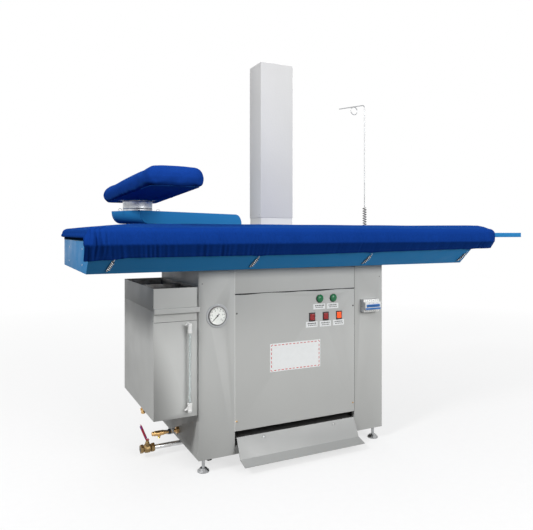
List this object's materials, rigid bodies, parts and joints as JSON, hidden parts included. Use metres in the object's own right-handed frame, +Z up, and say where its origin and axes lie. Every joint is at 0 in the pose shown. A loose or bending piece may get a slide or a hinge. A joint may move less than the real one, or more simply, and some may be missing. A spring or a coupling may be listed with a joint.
{
  "type": "vacuum ironing table",
  "caption": "Industrial vacuum ironing table: padded suction top on a steel cabinet with boiler, fan and duct, sleeve buck on a swing arm, hose hanger, foot pedal and controls.",
  "frame": {"origin": "on the floor, under the middle of the whole table's box", "axes": "+X along the cabinet's front to the right, +Y to the back, +Z up"},
  "size_m": [1.9674, 0.8614, 1.685],
  "materials": {
    "grey_paint": "semi-gloss warm grey paint",
    "duct_grey": "light grey paint with orange peel",
    "teal_paint": "glossy teal-blue enamel",
    "blue_cloth": "royal blue cotton cover over felt",
    "zinc": "zinc-plated steel",
    "dark_steel": "dull dark steel",
    "brass": "cast brass",
    "lever_red": "red and purple dipped plastic",
    "white_plastic": "moulded white plastic",
    "blue_plastic": "blue moulded plastic",
    "black_plastic": "black",
    "red_plastic": "translucent red plastic",
    "green_lens": "faceted green lens",
    "clear_tube": "clear plastic tube",
    "black_rubber": "black rubber tread"
  },
  "bodies": {
    "table": {"base_pan": "grey_paint", "left_column_panel": "grey_paint", "right_column_panel": "grey_paint", "rear_panel": "grey_paint", "fascia_panel": "grey_paint", "front_cover": "grey_paint", "top_frame": "grey_paint", "tank_body": "grey_paint", "tank_collar": "grey_paint", "tank_strap": "grey_paint", "tray": "teal_paint", "iron_rest": "teal_paint", "arm_post": "teal_paint", "hanger_bracket": "teal_paint", "exhaust_box": "duct_grey", "exhaust_duct": "duct_grey", "table_pad": "blue_cloth", "perforated_plate": "zinc", "cover_spring_1": "zinc", "cover_spring_2": "zinc", "cover_spring_3": "zinc", "cover_spring_4": "zinc", "gauge_case": "zinc", "boiler": "dark_steel", "water_pump": "dark_steel", "fan_housing": "dark_steel", "fan_motor": "dark_steel", "blowdown_valve": "brass", "inlet_valve": "brass", "tank_drain_cock": "brass", "sight_fitting_top": "white_plastic", "sight_fitting_bottom": "white_plastic", "sight_tube": "clear_tube", "breaker_case": "white_plastic", "lamp_left": "green_lens", "lamp_right": "green_lens"},
    "pedal": {"pedal": "grey_paint"},
    "arm": {"swing_arm": "teal_paint"},
    "buck": {"buck_pan": "zinc", "buck_pad": "blue_cloth"},
    "hanger_coil": {"hanger_spring": "zinc"},
    "hanger": {"hanger_rod": "zinc"},
    "impeller": {"fan_impeller": "zinc"},
    "float": {"float_arm": "white_plastic"},
    "drain_lever": {"blowdown_lever": "lever_red"},
    "needle": {"gauge_needle": "black_plastic"},
    "toggle": {"breaker_toggle": "blue_plastic"},
    "rocker_1": {"switch_rocker_1": "red_plastic"},
    "rocker_2": {"switch_rocker_2": "red_plastic"},
    "rocker_3": {"switch_rocker_3": "red_plastic"},
    "foot_fl": {"foot_front_left": "dark_steel"},
    "foot_fr": {"foot_front_right": "dark_steel"},
    "foot_rl": {"foot_rear_left": "dark_steel"},
    "foot_rr": {"foot_rear_right": "dark_steel"},
    "fork_left": {"caster_fork_left": "zinc"},
    "fork_right": {"caster_fork_right": "zinc"},
    "wheel_fl": {"caster_wheel_front_left": "black_rubber"},
    "wheel_fr": {"caster_wheel_front_right": "black_rubber"},
    "wheel_rl": {"caster_wheel_rear_left": "black_rubber"},
    "wheel_rr": {"caster_wheel_rear_right": "black_rubber"}
  },
  "joints": [
    {"name": "pedal_press", "type": "hinge", "parent": "table", "child": "pedal", "pos_m": [-0.19135, -0.21927, 0.101], "axis": [1, 0, 0], "range_deg": [0, 8], "stiffness_Nm_per_rad": 40, "springref_deg": -6.88},
    {"name": "arm_swing", "type": "hinge", "parent": "table", "child": "arm", "pos_m": [-0.32935, 0.31872, 0.915], "axis": [0, 0, 1], "range_deg": [-50, 55]},
    {"name": "buck_swivel", "type": "hinge", "parent": "arm", "child": "buck", "pos_m": [-0.71742, 0.10714, 0.94], "axis": [0, 0, 1], "range_deg": [-60, 60]},
    {"name": "hanger_sway", "type": "hinge", "parent": "table", "child": "hanger_coil", "pos_m": [0.54565, 0.30673, 0.856], "axis": [0, 1, 0], "range_deg": [-6, 6], "stiffness_Nm_per_rad": 15},
    {"name": "hanger_swivel", "type": "hinge", "parent": "hanger_coil", "child": "hanger", "pos_m": [0.54565, 0.30673, 0.856], "axis": [0, 0, 1], "range_deg": [-90, 90]},
    {"name": "impeller_spin", "type": "hinge", "parent": "table", "child": "impeller", "pos_m": [-0.04535, -0.03427, 0.6049], "axis": [0, 0, 1], "continuous": true},
    {"name": "float_rise", "type": "hinge", "parent": "table", "child": "float", "pos_m": [-0.66965, -0.25098, 0.5], "axis": [1, 0, 0], "range_deg": [0, 35]},
    {"name": "drain_lever_turn", "type": "hinge", "parent": "table", "child": "drain_lever", "pos_m": [-0.71335, -0.03427, 0.0673], "axis": [0, 0, 1], "range_deg": [0, 90]},
    {"name": "needle_turn", "type": "hinge", "parent": "table", "child": "needle", "pos_m": [-0.52035, -0.27208, 0.557], "axis": [0, 1, 0], "range_deg": [0, 270], "stiffness_Nm_per_rad": 0.002},
    {"name": "breaker_throw", "type": "hinge", "parent": "table", "child": "toggle", "pos_m": [0.14015, -0.29928, 0.558], "axis": [1, 0, 0], "range_deg": [0, 60]},
    {"name": "rocker_1_throw", "type": "hinge", "parent": "table", "child": "rocker_1", "pos_m": [-0.12735, -0.26627, 0.526], "axis": [1, 0, 0], "range_deg": [0, 12]},
    {"name": "rocker_2_throw", "type": "hinge", "parent": "table", "child": "rocker_2", "pos_m": [-0.06535, -0.26627, 0.526], "axis": [1, 0, 0], "range_deg": [0, 12]},
    {"name": "rocker_3_throw", "type": "hinge", "parent": "table", "child": "rocker_3", "pos_m": [-0.00335, -0.26627, 0.526], "axis": [1, 0, 0], "range_deg": [0, 12]},
    {"name": "foot_fl_screw", "type": "slide", "parent": "table", "child": "foot_fl", "axis": [0, 0, 1], "range_m": [-0.02, 0]},
    {"name": "foot_fr_screw", "type": "slide", "parent": "table", "child": "foot_fr", "axis": [0, 0, 1], "range_m": [-0.02, 0]},
    {"name": "foot_rl_screw", "type": "slide", "parent": "table", "child": "foot_rl", "axis": [0, 0, 1], "range_m": [-0.02, 0]},
    {"name": "foot_rr_screw", "type": "slide", "parent": "table", "child": "foot_rr", "axis": [0, 0, 1], "range_m": [-0.02, 0]},
    {"name": "fork_left_swivel", "type": "hinge", "parent": "table", "child": "fork_left", "pos_m": [-0.51535, -0.17428, 0.0777], "axis": [0, 0, 1], "continuous": true},
    {"name": "fork_right_swivel", "type": "hinge", "parent": "table", "child": "fork_right", "pos_m": [0.13465, -0.17428, 0.0777], "axis": [0, 0, 1], "continuous": true},
    {"name": "wheel_fl_roll", "type": "hinge", "parent": "fork_left", "child": "wheel_fl", "pos_m": [-0.51535, -0.16628, 0.0275], "axis": [1, 0, 0], "continuous": true},
    {"name": "wheel_fr_roll", "type": "hinge", "parent": "fork_right", "child": "wheel_fr", "pos_m": [0.13465, -0.16628, 0.0275], "axis": [1, 0, 0], "continuous": true},
    {"name": "wheel_rl_roll", "type": "hinge", "parent": "table", "child": "wheel_rl", "pos_m": [-0.51535, 0.12373, 0.0275], "axis": [1, 0, 0], "continuous": true},
    {"name": "wheel_rr_roll", "type": "hinge", "parent": "table", "child": "wheel_rr", "pos_m": [0.13465, 0.12373, 0.0275], "axis": [1, 0, 0], "continuous": true}
  ]
}
